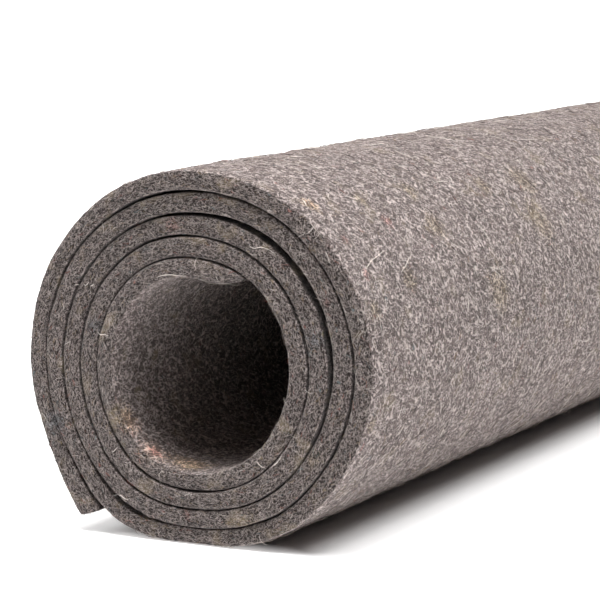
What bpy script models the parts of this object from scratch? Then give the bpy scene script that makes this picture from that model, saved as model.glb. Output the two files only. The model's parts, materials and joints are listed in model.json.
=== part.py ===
"""A sheet of thick wool felt, wound into an open roll that lies on its side.

The roll's axis runs along Y, and its near end is the one at -Y. X is to the right and Z is up
for someone who looks at that near end. The sheet is one solid. Its section is a spiral: it
starts at one o'clock in the hollow, runs counter-clockwise and outwards, and ends low on the
left, where the free edge stands a little off the turn below.

Lengths are in metres, and a place along the winding is a number of turns from the inner end.
"""

from math import cos, pi, radians, sin
from typing import NamedTuple

import bpy

# Driving dimensions
ROLL_LENGTH = 0.500
CENTRE_HEIGHT = 0.0480
WINDING_TURNS = 4.483
INNER_END_HOUR = 1.0
TURN_GAP = 0.00035

# Ends of the sheet
INNER_TAPER_TURNS = 0.055
INNER_TIP = 0.0006
FREE_END_TURNS = 0.085
FREE_END_FLUFF = 0.0016
FREE_END_LIFT = 0.0006
FREE_END_SLANT_TURNS = 0.011

# Evenness of the two cut edges that show at the ends of the roll
EDGE_DRIFT = 0.0012
EDGE_DRIFT_TURNS = 1.7

# Fineness of the mesh
STEPS_PER_TURN = 48
HOURS = 12

FELT_COLOUR = (0.286, 0.245, 0.238, 1.0)
FELT_ROUGHNESS = 0.95


class ClockRow(NamedTuple):
    """The winding at one hour of the clock, as the near end is seen."""

    hour: int
    hollow: float
    felt: float


class Pocket(NamedTuple):
    """A place where the winding is slack: extra room under this stretch of the sheet."""

    start_turn: float
    end_turn: float
    depth: float


class Station(NamedTuple):
    """One place along the roll: how far along it is, and how much the free end lifts there."""

    along: float
    lift: float


# In the order of the winding. The felt is pressed thinner below, where it carries the roll.
CLOCK = (
    ClockRow(1, 0.0217, 0.00525),
    ClockRow(12, 0.0224, 0.00520),
    ClockRow(11, 0.0243, 0.00500),
    ClockRow(10, 0.0255, 0.00495),
    ClockRow(9, 0.0268, 0.00475),
    ClockRow(8, 0.0285, 0.00460),
    ClockRow(7, 0.0303, 0.00465),
    ClockRow(6, 0.0292, 0.00455),
    ClockRow(5, 0.0277, 0.00515),
    ClockRow(4, 0.0265, 0.00530),
    ClockRow(3, 0.0263, 0.00535),
    ClockRow(2, 0.0265, 0.00530),
)

POCKETS = (
    Pocket(2.04, 2.28, 0.0003),
    Pocket(2.68, 3.20, 0.0013),
    Pocket(3.44, 3.56, 0.0009),
    Pocket(3.70, 3.90, 0.0003),
    Pocket(4.02, 4.24, 0.0004),
    Pocket(4.43, 4.60, 0.0005),
)

STATIONS = (
    Station(0.00, 1.00),
    Station(0.12, 0.70),
    Station(0.30, 0.30),
    Station(0.50, 0.10),
    Station(0.70, 0.40),
    Station(0.88, 1.10),
    Station(1.00, 1.40),
)


def clear_scene():
    for old in list(bpy.data.objects):
        bpy.data.objects.remove(old, do_unlink=True)


def smooth_rise(position):
    """Go from 0 to 1 without a corner at either end."""
    position = min(max(position, 0.0), 1.0)
    return position * position * (3.0 - 2.0 * position)


def smooth_between(before, start, end, after, position):
    """Follow the curve that passes through start and end."""
    slope_start = (end - before) / 2.0
    slope_end = (after - start) / 2.0
    chord = end - start
    square_term = 3.0 * chord - 2.0 * slope_start - slope_end
    cube_term = slope_start + slope_end - 2.0 * chord
    return start + slope_start * position + square_term * position**2 + cube_term * position**3


def felt_at_row(row):
    return CLOCK[row % HOURS].felt


def bore_at_row(row):
    """Find how far the inner face is from the axis, in twelfths of a turn, with no slack."""
    turns, first = divmod(row, HOURS)
    return CLOCK[first].hollow + turns * (felt_at_row(first) + TURN_GAP)


def along_rows(value_at_row, turn):
    """Read a clock column smoothly at any place along the winding."""
    row, position = divmod(turn * HOURS, 1.0)
    row = int(row)
    near = [value_at_row(row + offset) for offset in (-1, 0, 1, 2)]
    return smooth_between(*near, position)


def slack_under(turn):
    """Add up the pockets that lift this place, each of which also lifts every turn outside it."""
    total = 0.0
    for pocket in POCKETS:
        place = turn
        while place > pocket.start_turn:
            if place < pocket.end_turn:
                share = (place - pocket.start_turn) / (pocket.end_turn - pocket.start_turn)
                total += pocket.depth * sin(pi * share) ** 2
            place -= 1.0
    return total


def free_end_share(turn):
    """Go from 0 to 1 over the last stretch before the free end."""
    return smooth_rise(1.0 - (WINDING_TURNS - turn) / FREE_END_TURNS)


def inner_radius(turn, lift):
    radius = along_rows(bore_at_row, turn) + slack_under(turn)
    return radius + lift * FREE_END_LIFT * free_end_share(turn)


def felt_thickness(turn):
    """Nothing presses on the free end, so the felt is fuller there."""
    return along_rows(felt_at_row, turn) + FREE_END_FLUFF * free_end_share(turn)


def inner_face_radius(turn, lift):
    """Cut the sheet's inner end on a slant, so that it dies out against the next turn."""
    radius = inner_radius(turn, lift)
    missing = (1.0 - min(turn / INNER_TAPER_TURNS, 1.0)) ** 2
    return radius + missing * (felt_thickness(turn) - INNER_TIP)


def section_point(radius, turn):
    """Place a point of the section. It is never below the ground, where the roll lies flat."""
    angle = radians(30.0 * INNER_END_HOUR) - 2.0 * pi * turn
    across = radius * sin(angle)
    height = CENTRE_HEIGHT + radius * cos(angle)
    return across, max(height, 0.0)


def winding_places():
    """List the places along the winding, closer together where the inner end tapers."""
    step = 1.0 / STEPS_PER_TURN
    taper = [0.0, 0.25 * step, 0.5 * step]
    count = int(WINDING_TURNS / step - 0.5)
    even = [index * step for index in range(1, count + 1)]
    return taper + even + [WINDING_TURNS]


def section_outline(lift):
    """Give the section's corners in order, each with its place along the winding."""
    inner_places = winding_places()
    outer_places = inner_places[:-1] + [WINDING_TURNS - FREE_END_SLANT_TURNS]
    corners = []
    for turn in inner_places:
        corners.append((turn, section_point(inner_face_radius(turn, lift), turn)))
    for turn in reversed(outer_places):
        radius = inner_radius(turn, lift) + felt_thickness(turn)
        corners.append((turn, section_point(radius, turn)))
    return corners


def edge_drift(turn):
    """Say how far the sheet's edge stands back at the roll's ends."""
    return EDGE_DRIFT * sin(2.0 * pi * turn / EDGE_DRIFT_TURNS) ** 2


def middle(values):
    return (min(values) + max(values)) / 2.0


def felt_vertices():
    """Sweep the section along the roll, centred over the origin."""
    rings = [section_outline(station.lift) for station in STATIONS]
    centre = middle([corner[1][0] for ring in rings for corner in ring])
    vertices = []
    for station, ring in zip(STATIONS, rings):
        for turn, (across, height) in ring:
            half_length = ROLL_LENGTH / 2.0 - edge_drift(turn)
            vertices.append((across - centre, half_length * (2.0 * station.along - 1.0), height))
    return vertices


def felt_faces(ring_size, ring_count):
    """Join the rings with quads, and close both ends strip by strip across the sheet."""
    faces = []
    for ring in range(ring_count - 1):
        near = ring * ring_size
        far = near + ring_size
        for corner in range(ring_size):
            following = (corner + 1) % ring_size
            faces.append((near + corner, near + following, far + following, far + corner))
    last = (ring_count - 1) * ring_size
    for corner in range(ring_size // 2 - 1):
        across = ring_size - 1 - corner
        strip = (corner, across, across - 1, corner + 1)
        faces.append(strip)
        faces.append(tuple(last + index for index in reversed(strip)))
    return faces


def felt_material():
    material = bpy.data.materials.new("felt")
    material.use_nodes = True
    shader = material.node_tree.nodes["Principled BSDF"]
    shader.inputs["Base Color"].default_value = FELT_COLOUR
    shader.inputs["Roughness"].default_value = FELT_ROUGHNESS
    shader.inputs["Metallic"].default_value = 0.0
    material.diffuse_color = FELT_COLOUR
    return material


def build_felt_roll():
    vertices = felt_vertices()
    ring_size = len(vertices) // len(STATIONS)
    mesh = bpy.data.meshes.new("felt_roll")
    mesh.from_pydata(vertices, [], felt_faces(ring_size, len(STATIONS)))
    mesh.materials.append(felt_material())
    mesh.shade_smooth()
    mesh.set_sharp_from_angle(angle=radians(40.0))
    roll = bpy.data.objects.new("felt_roll", mesh)
    bpy.context.scene.collection.objects.link(roll)
    return roll


def main():
    clear_scene()
    build_felt_roll()


if __name__ == "__main__":
    main()
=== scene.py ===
"""The looks of a roll of thick wool felt, which lies on its side on a pale floor.

The felt is made the way the real roll is: a flat cut sheet is wound up along its path. Fibres
are then laid over every surface that shows, and a few stray hairs are put where they stand out.
Lengths are in metres, and a place along the winding is a number of turns from the inner end.
"""

import json
from math import cos, pi, radians, sin
from typing import NamedTuple

import bpy
import numpy as np
from bpy.props import FloatProperty, FloatVectorProperty, IntProperty, PointerProperty
from mathutils import Matrix, Vector

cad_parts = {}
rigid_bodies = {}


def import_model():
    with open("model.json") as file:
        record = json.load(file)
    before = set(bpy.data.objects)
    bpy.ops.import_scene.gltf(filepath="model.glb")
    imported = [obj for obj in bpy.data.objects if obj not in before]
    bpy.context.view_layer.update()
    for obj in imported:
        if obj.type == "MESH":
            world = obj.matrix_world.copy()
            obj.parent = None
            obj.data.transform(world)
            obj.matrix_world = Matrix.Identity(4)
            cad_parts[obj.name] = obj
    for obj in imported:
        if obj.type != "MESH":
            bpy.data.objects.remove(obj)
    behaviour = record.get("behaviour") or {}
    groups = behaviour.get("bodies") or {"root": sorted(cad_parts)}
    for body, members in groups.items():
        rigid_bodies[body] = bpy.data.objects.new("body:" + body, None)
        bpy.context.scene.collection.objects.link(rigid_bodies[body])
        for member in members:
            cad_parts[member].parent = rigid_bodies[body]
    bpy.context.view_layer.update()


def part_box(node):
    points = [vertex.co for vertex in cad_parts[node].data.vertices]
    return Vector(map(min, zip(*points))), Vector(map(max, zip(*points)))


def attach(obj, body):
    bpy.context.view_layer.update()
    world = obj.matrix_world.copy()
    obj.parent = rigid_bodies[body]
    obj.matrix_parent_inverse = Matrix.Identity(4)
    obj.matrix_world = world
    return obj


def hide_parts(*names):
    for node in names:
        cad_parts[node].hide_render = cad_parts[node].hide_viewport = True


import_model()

CAD_LOW, CAD_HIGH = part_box("felt_roll")

bl_info = {
    "name": "Wool Felt Roll",
    "version": (1, 0, 0),
    "blender": (4, 5, 0),
    "location": "3D View > Sidebar > Felt Roll",
    "description": "Winds a sheet of thick wool felt into an open roll and lays its fibres",
    "category": "Object",
}

# The roll
HALF_LENGTH = (CAD_HIGH.y - CAD_LOW.y) / 2.0
CENTRE_HEIGHT = 0.0480
WINDING_TURNS = 4.483
INNER_END_HOUR = 1.0
TURN_GAP = 0.00035
FELT_THICKNESS = 0.005
HOURS = 12

# Ends of the sheet
INNER_TAPER_TURNS = 0.055
INNER_TIP = 0.0006
FREE_END_TURNS = 0.085
FREE_END_FLUFF = 0.0016
FREE_END_LIFT = 0.0006
FREE_END_SLANT_TURNS = 0.011
EDGE_DRIFT = 0.0012
EDGE_DRIFT_TURNS = 1.7

# How much the free end lifts at the roll's middle, and how much more at its ends
MIDDLE_LIFT = 0.1
LIFT_TO_ENDS = 1.1

# The flat sheet's faces: how fast they lengthen away from the edges, and where a face opens up
LINE_STEP_GROWTH = 1.45
OPENING_TURNS = 0.03
MEAN_FULLNESS = 1.02
CUT_DEPTH_SCALE = 0.006

# Places on the surface where fibres are laid
HIDDEN, OUTSIDE, HOLLOW, NEAR_END, FAR_END, SHEET_ENDS = range(6)

# The photograph's view
IMAGE_SIZE = 600
PHOTO_AZIMUTH = 27.0
PHOTO_ELEVATION = 7.95
FOCAL_PIXELS = 2600.0
SENSOR_WIDTH = 36.0
END_CENTRE_DISTANCE = 0.677
END_CENTRE_PIXEL = (197.9, 364.9)

# The floor, and the strip of it under the roll, from left to right, that gets no painted glow, so that
# the roll's shadow there stays dark
FLOOR_REACH = 14.0
FLOOR_HEIGHT = -0.0002
ROLL_SHADE = (-0.019, 0.024)


class ClockRow(NamedTuple):
    """The winding at one hour of the clock, as the near end is seen."""

    hour: int
    hollow: float
    felt: float


class Pocket(NamedTuple):
    """A place where the winding is slack: extra room under this stretch of the sheet."""

    start_turn: float
    end_turn: float
    depth: float


class CrossLine(NamedTuple):
    """A line that runs along the sheet near a cut edge: how far in it is, and how deep.

    It also says how much it belongs to the cut edge, and how near the gap beside it is, which sets the
    painted shade there.
    """

    inset: float
    depth: float
    cut: float
    gap: float


class EndColumn(NamedTuple):
    """A row of points across the sheet's own end: how far in it is, and how much it closes."""

    inset: float
    closing: float


class Noise(NamedTuple):
    """Smooth noise: how fine it is and how much detail it has."""

    scale: float
    detail: float
    dimensions: str = "2D"


class Patch(NamedTuple):
    """A patch on the felt, in pixels of the photograph: its middle and reach. Most are clumps of
    coloured wool, and the bright ones are painted light.
    """

    pixel: tuple
    reach: float


class Lamp(NamedTuple):
    """A light: where it stands or where it shines from, and its share of the usual strength."""

    name: str
    place: tuple
    share: float


CLOCK = (
    ClockRow(1, 0.0217, 0.00525),
    ClockRow(12, 0.0224, 0.00520),
    ClockRow(11, 0.0243, 0.00500),
    ClockRow(10, 0.0255, 0.00495),
    ClockRow(9, 0.0268, 0.00475),
    ClockRow(8, 0.0285, 0.00460),
    ClockRow(7, 0.0303, 0.00465),
    ClockRow(6, 0.0292, 0.00455),
    ClockRow(5, 0.0277, 0.00515),
    ClockRow(4, 0.0265, 0.00530),
    ClockRow(3, 0.0263, 0.00535),
    ClockRow(2, 0.0265, 0.00530),
)

POCKETS = (
    Pocket(2.04, 2.28, 0.0003),
    Pocket(2.68, 3.20, 0.0013),
    Pocket(3.44, 3.56, 0.0009),
    Pocket(3.70, 3.90, 0.0003),
    Pocket(4.02, 4.24, 0.0004),
    Pocket(4.43, 4.60, 0.0005),
)

CUT_LINES = (
    CrossLine(0.0, 0.43, 1.0, 0.0),
    CrossLine(0.00003, 0.30, 1.0, 0.0),
    CrossLine(0.00012, 0.16, 1.0, 0.1),
    CrossLine(0.00024, 0.09, 1.0, 0.3),
    CrossLine(0.0004, 0.05, 0.2, 0.5),
    CrossLine(0.0010, 0.012, 0.0, 0.9),
    CrossLine(0.0022, 0.0, 0.0, 1.0),
)

END_COLUMNS = (
    EndColumn(0.0, 0.96),
    EndColumn(0.0, 0.70),
    EndColumn(0.0, 0.40),
    EndColumn(0.00005, 0.16),
    EndColumn(0.0003, 0.05),
)

# What makes the sheet uneven, with scales per metre
FULLNESS_NOISE = Noise(110.0, 2.0, "3D")
FACE_NOISE = Noise(38.0, 2.0, "3D")
SWELLING_NOISE = Noise(300.0, 3.0, "3D")
EDGE_NOISE = Noise(330.0, 2.0, "3D")

# What makes the wool's colours uneven, with scales per millimetre
BEND_NOISE = Noise(0.45, 2.0)
CLOUD_NOISE = Noise(0.055, 3.0)
CLUMP_NOISE = Noise(0.55, 3.0)
OCHRE_NOISE = Noise(0.11, 2.0)
FRINGE_NOISE = Noise(2.4, 2.0)
FRAY_NOISE = Noise(0.9, 3.0)
STROKE_NOISE = Noise(1.0, 0.0)
BREAK_NOISE = Noise(1.1, 0.0)
GRAIN_NOISE = Noise(1.0, 1.0)
WANDER_NOISE = Noise(1.0, 3.0)
FACE_GRAIN = (4.0, 2.3, 1.0)
CUT_GRAIN = (3.2, 4.4, 1.0)

OCHRE_PATCHES = (
    Patch((310, 204), 13),
    Patch((360, 200), 10),
    Patch((410, 190), 13),
    Patch((435, 225), 17),
    Patch((482, 185), 15),
    Patch((522, 180), 22),
    Patch((540, 220), 25),
    Patch((500, 290), 25),
    Patch((410, 280), 15),
    Patch((375, 310), 11),
    Patch((372, 425), 10),
    Patch((250, 520), 11),
    Patch((315, 457), 9),
    Patch((125, 415), 16),
    Patch((190, 464), 23),
)

# Painted pools of light: the lit lower lip of the hollow, and the top of the outside near the near end.
PAINTED_LIGHT_PATCHES = (
    Patch((155, 452), 19),
    Patch((190, 464), 22),
    Patch((131, 423), 16),
    Patch((310, 204), 11),
)

RED_PATCHES = (
    Patch((387, 221), 9),
    Patch((345, 240), 6),
    Patch((367, 275), 7),
    Patch((172, 225), 9),
    Patch((327, 302), 5),
    Patch((187, 515), 5),
    Patch((155, 452), 9),
)

TEAL_PATCHES = (
    Patch((57, 422), 13),
    Patch((95, 325), 9),
    Patch((315, 340), 11),
)

# How strongly each set of patches shows, and what it multiplies the wool's colour by
PATCH_TINTS = (
    (OCHRE_PATCHES, 0.85, (1.0, 0.96, 0.78)),
    (PAINTED_LIGHT_PATCHES, 0.9, (1.65, 1.48, 1.32)),
    (RED_PATCHES, 0.65, (1.22, 0.76, 0.72)),
    (TEAL_PATCHES, 0.8, (0.82, 0.98, 1.10)),
)

# Single hairs that stand out, each along a line of pixels of the photograph
HAIRS = (
    ((248.2, 244.8), (251.4, 247.4), (254.7, 248.3), (258.1, 247.6), (262.2, 247.4), (268.9, 249.6)),
    ((74.1, 285.3), (76.0, 284.8), (78.0, 284.5), (79.5, 285.2)),
    ((83.5, 283.4), (84.6, 285.2), (86.0, 285.2), (87.4, 283.9), (88.6, 281.6)),
    ((90.5, 285.8), (92.4, 285.3), (94.0, 284.0)),
    ((97.6, 331.2), (98.7, 333.2), (100.9, 334.8), (104.8, 334.3), (107.0, 335.6), (109.2, 335.8)),
    ((111.4, 452.4), (113.9, 451.1), (116.1, 448.6), (117.8, 446.9)),
    ((282.2, 453.9), (280.0, 458.3), (276.7, 462.8), (272.8, 466.1), (270.0, 468.6)),
    ((256.1, 461.1), (258.9, 464.4), (262.2, 467.2), (266.1, 468.3)),
    ((113.1, 495.7), (117.6, 494.7), (120.9, 495.7), (124.2, 498.4), (127.0, 499.4), (130.3, 498.4)),
    ((365.7, 269.6), (368.0, 265.6), (370.8, 261.4), (373.6, 258.9), (379.1, 254.8), (384.4, 250.1)),
    ((412.0, 254.4), (409.8, 256.9), (407.6, 261.1), (405.9, 265.0), (402.6, 270.0), (400.6, 273.3)),
    ((431.6, 179.3), (433.2, 181.8), (435.2, 182.8), (438.2, 181.7), (442.7, 181.4), (448.2, 181.6)),
    ((436.6, 176.6), (438.2, 177.6), (439.6, 179.1)),
    ((449.3, 176.6), (451.0, 178.5), (452.4, 181.6)),
    ((468.4, 298.0), (468.7, 301.9), (468.1, 306.9), (467.6, 313.0)),
    ((565.5, 278.6), (564.7, 283.0), (564.7, 288.0)),
    ((579.6, 340.1), (584.0, 341.2), (588.4, 340.4), (589.6, 335.7)),
    ((302.2, 199.2), (304.7, 202.0), (306.7, 206.4)),
    ((330.3, 191.7), (328.3, 195.3), (329.2, 198.7), (331.1, 200.3)),
    ((156.0, 277.4), (162.0, 275.6), (170.0, 274.8), (179.0, 275.8), (187.0, 276.2)),
    ((192.0, 277.0), (201.0, 279.6), (210.0, 282.8), (219.0, 284.2), (228.0, 284.6)),
    ((226.0, 283.2), (234.0, 285.0), (242.0, 284.4), (247.0, 282.2)),
)
HAIR_RADIUS = 0.00011
HAIR_SEGMENTS = 14
HAIR_TONE = 0.01
HAIR_CLEARANCE = 0.0004
HAIR_SAG = 0.0004

# Fibres: the widest tilts and largest size, as shares, and what each random number starts from
LOWEST_TILT = -1.0
HIGHEST_TILT = 0.25
LARGEST_FIBRE = 1.35
TURN_SEED, TILT_SEED, KIND_SEED, SIZE_SEED, TONE_SEED = range(11, 16)
LAYER_SEED_STEP = 100
THREAD_SIDES = 3
TIP_WELD = 0.000002

# Fibre colours, each from this share of the mixture on
FIBRE_TONES = (
    (0.00, (0.98, 0.95, 0.91)),
    (0.02, (0.63, 0.585, 0.555)),
    (0.36, (0.425, 0.375, 0.355)),
    (0.62, (0.205, 0.167, 0.157)),
    (0.80, (0.047, 0.037, 0.035)),
    (0.94, (0.36, 0.265, 0.155)),
    (0.975, (0.36, 0.12, 0.09)),
    (0.988, (0.10, 0.165, 0.18)),
)

WHITE = (1.0, 1.0, 1.0, 1.0)
WOOL_FINISH = {
    "Roughness": 0.95,
    "Specular IOR Level": 0.2,
    "Sheen Weight": 0.25,
    "Sheen Roughness": 0.45,
    "Sheen Tint": (0.75, 0.72, 0.70, 1.0),
}
FIBRE_FINISH = {"Roughness": 0.7, "Specular IOR Level": 0.3}
FLOOR_FINISH = {"Roughness": 0.9, "Emission Color": WHITE}

SUNS = (
    Lamp("right_light", (0.26, -0.20, 1.0), 0.74),
    Lamp("left_light", (-0.26, -0.02, 1.0), 1.36),
)
FILLS = (
    Lamp("left_fill", (-0.19, -0.37, 0.18), 0.75),
    Lamp("right_fill", (0.17, -0.36, 0.40), 0.72),
)
FILL_TARGET = (-0.02, -HALF_LENGTH, 0.05)
FILL_WIDTH = 0.2


def smooth_rise(position):
    """Go from 0 to 1 without a corner at either end."""
    position = min(max(position, 0.0), 1.0)
    return position * position * (3.0 - 2.0 * position)


def smooth_between(before, start, end, after, position):
    """Follow the curve that passes through start and end."""
    slope_start = (end - before) / 2.0
    slope_end = (after - start) / 2.0
    chord = end - start
    square_term = 3.0 * chord - 2.0 * slope_start - slope_end
    cube_term = slope_start + slope_end - 2.0 * chord
    return start + slope_start * position + square_term * position**2 + cube_term * position**3


def felt_at_row(row):
    return CLOCK[row % HOURS].felt


def bore_at_row(row):
    """Find how far the inner face is from the axis, in twelfths of a turn, with no slack."""
    turns, first = divmod(row, HOURS)
    return CLOCK[first].hollow + turns * (felt_at_row(first) + TURN_GAP)


def along_rows(value_at_row, turn):
    """Read a clock column smoothly at any place along the winding."""
    row, position = divmod(turn * HOURS, 1.0)
    row = int(row)
    near = [value_at_row(row + offset) for offset in (-1, 0, 1, 2)]
    return smooth_between(*near, position)


def slack_under(turn):
    """Add up the pockets that lift this place, each of which also lifts every turn outside it."""
    total = 0.0
    for pocket in POCKETS:
        place = turn
        while place > pocket.start_turn:
            if place < pocket.end_turn:
                share = (place - pocket.start_turn) / (pocket.end_turn - pocket.start_turn)
                total += pocket.depth * sin(pi * share) ** 2
            place -= 1.0
    return total


def free_end_share(turn):
    """Go from 0 to 1 over the last stretch before the free end."""
    return smooth_rise(1.0 - (WINDING_TURNS - turn) / FREE_END_TURNS)


def inner_radius(turn):
    return along_rows(bore_at_row, turn) + slack_under(turn)


def felt_thickness(turn):
    """Nothing presses on the free end, so the felt is fuller there."""
    return along_rows(felt_at_row, turn) + FREE_END_FLUFF * free_end_share(turn)


def inner_face_radius(turn):
    """Cut the sheet's inner end on a slant, so that it dies out against the next turn."""
    missing = (1.0 - min(turn / INNER_TAPER_TURNS, 1.0)) ** 2
    return inner_radius(turn) + missing * (felt_thickness(turn) - INNER_TIP)


def outer_place(turn):
    """The outer face ends a little before the inner one, because the end is cut on a slant."""
    reach = 4.0 * FREE_END_SLANT_TURNS
    return turn - FREE_END_SLANT_TURNS * smooth_rise((turn - WINDING_TURNS + reach) / reach)


def winding_direction(turn):
    """Point away from the axis."""
    angle = radians(30.0 * INNER_END_HOUR) - 2.0 * pi * turn
    return Vector((sin(angle), 0.0, cos(angle)))


def edge_drift(turn):
    """Say how far the sheet's edge stands back at the roll's ends."""
    return EDGE_DRIFT * sin(2.0 * pi * turn / EDGE_DRIFT_TURNS) ** 2


def add_object(name, data):
    made = bpy.data.objects.new(name, data)
    bpy.context.scene.collection.objects.link(made)
    return made


class Winding:
    """The path that the sheet is wound along, point by point."""

    steps_per_turn = 144

    def __init__(self):
        count = round(WINDING_TURNS * self.steps_per_turn)
        self.turns = [WINDING_TURNS * index / count for index in range(count + 1)]
        inner = [winding_direction(turn) * inner_face_radius(turn) for turn in self.turns]
        outer = [self.outer_point(outer_place(turn)) for turn in self.turns]
        centre = (min(point.x for point in outer) + max(point.x for point in outer)) / 2.0
        box_middle = (CAD_LOW.x + CAD_HIGH.x) / 2.0
        self.axis = Vector((box_middle - centre, 0.0, CENTRE_HEIGHT))
        self.middles = [self.axis + (low + high) / 2.0 for low, high in zip(inner, outer)]
        self.across = [high - low for low, high in zip(inner, outer)]
        self.lifts = [
            winding_direction(turn) * FREE_END_LIFT * free_end_share(turn) for turn in self.turns
        ]
        self.lengths = [0.0]
        for before, after in zip(self.middles, self.middles[1:]):
            self.lengths.append(self.lengths[-1] + (after - before).length)

    @staticmethod
    def outer_point(turn):
        point = winding_direction(turn) * (inner_radius(turn) + felt_thickness(turn))
        point.z = max(point.z, -CENTRE_HEIGHT)
        return point

    @property
    def sheet_length(self):
        return self.lengths[-1]

    def turn_at(self, length):
        return np.interp(length, self.lengths, self.turns)

    def as_object(self):
        """Make the path as a line of edges that also holds the way across the felt."""
        mesh = bpy.data.meshes.new("winding_path")
        edges = [(index, index + 1) for index in range(len(self.middles) - 1)]
        mesh.from_pydata(self.middles, edges, [])
        for name, vectors in (("across", self.across), ("lift", self.lifts)):
            attribute = mesh.attributes.new(name, "FLOAT_VECTOR", "POINT")
            attribute.data.foreach_set("vector", np.array(vectors, dtype=np.float32).ravel())
        return add_object("winding_path", mesh)


class Wiring:
    """Adds nodes to a tree, and links or sets what feeds them."""

    def __init__(self, tree):
        self.tree = tree

    def node(self, kind, feeds=None, **settings):
        made = self.tree.nodes.new(kind)
        for name, value in settings.items():
            setattr(made, name, value)
        for socket, value in (feeds or {}).items():
            self.feed(made.inputs[socket], value)
        return made

    def first(self, kind, feeds=None, **settings):
        """Add a node, and give its first output."""
        return self.node(kind, feeds, **settings).outputs[0]

    def feed(self, socket, value):
        if isinstance(value, bpy.types.NodeSocket):
            self.tree.links.new(value, socket)
        else:
            socket.default_value = value

    def math(self, operation, *values):
        return self.first("ShaderNodeMath", dict(enumerate(values)), operation=operation)

    def product(self, value, *factors):
        for factor in factors:
            value = self.math("MULTIPLY", value, factor)
        return value

    def vector(self, operation, *values):
        return self.first("ShaderNodeVectorMath", dict(enumerate(values)), operation=operation)

    def scaled(self, vector, factor):
        return self.first("ShaderNodeVectorMath", {0: vector, "Scale": factor}, operation="SCALE")

    def combined(self, x=0.0, y=0.0, z=0.0):
        return self.first("ShaderNodeCombineXYZ", {0: x, 1: y, 2: z})

    def parts(self, vector):
        return self.node("ShaderNodeSeparateXYZ", {0: vector}).outputs

    def ranged(self, value, from_low, from_high, to_low=0.0, to_high=1.0):
        feeds = {0: value, 1: from_low, 2: from_high, 3: to_low, 4: to_high}
        return self.first("ShaderNodeMapRange", feeds, interpolation_type="SMOOTHSTEP")

    def between(self, share, first, second):
        """Go from the first number to the second."""
        return self.first("ShaderNodeMix", {0: share, 2: first, 3: second})

    def noise(self, vector, noise, output="Fac"):
        feeds = {"Vector": vector, "Scale": noise.scale, "Detail": noise.detail}
        made = self.node("ShaderNodeTexNoise", feeds, noise_dimensions=noise.dimensions)
        return made.outputs[output]

    def sway(self, vector, noise):
        """Give noise that goes as far below nothing as above it."""
        return self.math("SUBTRACT", self.noise(vector, noise), 0.5)

    def named(self, name, data_type="FLOAT"):
        return self.first("GeometryNodeInputNamedAttribute", {"Name": name}, data_type=data_type)

    def stored(self, geometry, name, value, data_type="FLOAT", domain="POINT"):
        feeds = {"Geometry": geometry, "Name": name, "Value": value}
        kind = "GeometryNodeStoreNamedAttribute"
        return self.first(kind, feeds, data_type=data_type, domain=domain)

    def mesh_number(self, name):
        """Read a number that the mesh stores, in a material."""
        return self.node("ShaderNodeAttribute", attribute_name=name).outputs["Fac"]

    def tinted(self, factor, first, second, blend="MIX"):
        feeds = {0: factor, 6: first, 7: second}
        return self.node("ShaderNodeMix", feeds, data_type="RGBA", blend_type=blend).outputs[2]

    def shaded(self, colour, shade):
        """Multiply a colour by a number."""
        return self.tinted(1.0, colour, self.combined(shade, shade, shade), "MULTIPLY")


def new_geometry_tree(name, **inputs):
    """Start a tree that takes and gives a mesh, with named inputs of each of these kinds."""
    tree = bpy.data.node_groups.new(name, "GeometryNodeTree")
    sockets = tree.interface
    sockets.new_socket("Geometry", in_out="INPUT", socket_type="NodeSocketGeometry")
    for kind, labels in inputs.items():
        for label in labels:
            sockets.new_socket(label, in_out="INPUT", socket_type="NodeSocket" + kind)
    sockets.new_socket("Geometry", in_out="OUTPUT", socket_type="NodeSocketGeometry")
    wiring = Wiring(tree)
    return wiring, wiring.node("NodeGroupInput").outputs, wiring.node("NodeGroupOutput").inputs


def finished_tree(wiring, given, result, geometry):
    """End a tree: every instance is made real, and the mesh gets its material."""
    real = wiring.first("GeometryNodeRealizeInstances", {0: geometry})
    feeds = {"Geometry": real, "Material": given["Material"]}
    wiring.feed(result["Geometry"], wiring.first("GeometryNodeSetMaterial", feeds))
    return wiring.tree


def made_plain(source, tree, values, name):
    """Run a tree on an object with these inputs, and keep the result as a plain mesh."""
    modifier = source.modifiers.new(tree.name, "NODES")
    modifier.node_group = tree
    for item in tree.interface.items_tree:
        if item.in_out == "INPUT" and item.name in values:
            modifier[item.identifier] = values[item.name]
    graph = bpy.context.evaluated_depsgraph_get()
    evaluated = source.evaluated_get(graph)
    mesh = bpy.data.meshes.new_from_object(
        evaluated, preserve_all_data_layers=True, depsgraph=graph
    )
    mesh.name = name
    for index in reversed(range(len(mesh.materials))):
        if mesh.materials[index] is None:
            mesh.materials.pop(index=index)
    source.modifiers.remove(modifier)
    return add_object(name, mesh)


def discard(thing):
    mesh = thing.data
    bpy.data.objects.remove(thing, do_unlink=True)
    bpy.data.meshes.remove(mesh)


def lines_round_sheet(widest_step):
    """List the lines round the sheet's section, from the far edge to the near one and back.

    The first column says which end of the roll a line is nearer, and the rest are a CrossLine's.
    """
    inset = step = CUT_LINES[-1].inset
    face = []
    while inset + step < HALF_LENGTH - step:
        inset += step
        step = min(step * LINE_STEP_GROWTH, widest_step)
        face.append(CrossLine(inset, 0.0, 0.0, 1.0))
    quarter = list(CUT_LINES) + face
    half = np.array(quarter + [CrossLine(HALF_LENGTH, 0.0, 0.0, 1.0)] + quarter[::-1])
    sides = np.sign(len(quarter) - np.arange(len(half)))
    insets, depths, cuts, gaps = np.concatenate([half, half[::-1]]).T
    depths[len(half):] = 1.0 - depths[len(half):]
    return np.concatenate([sides, sides[::-1]]), insets, depths, cuts, gaps


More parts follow.
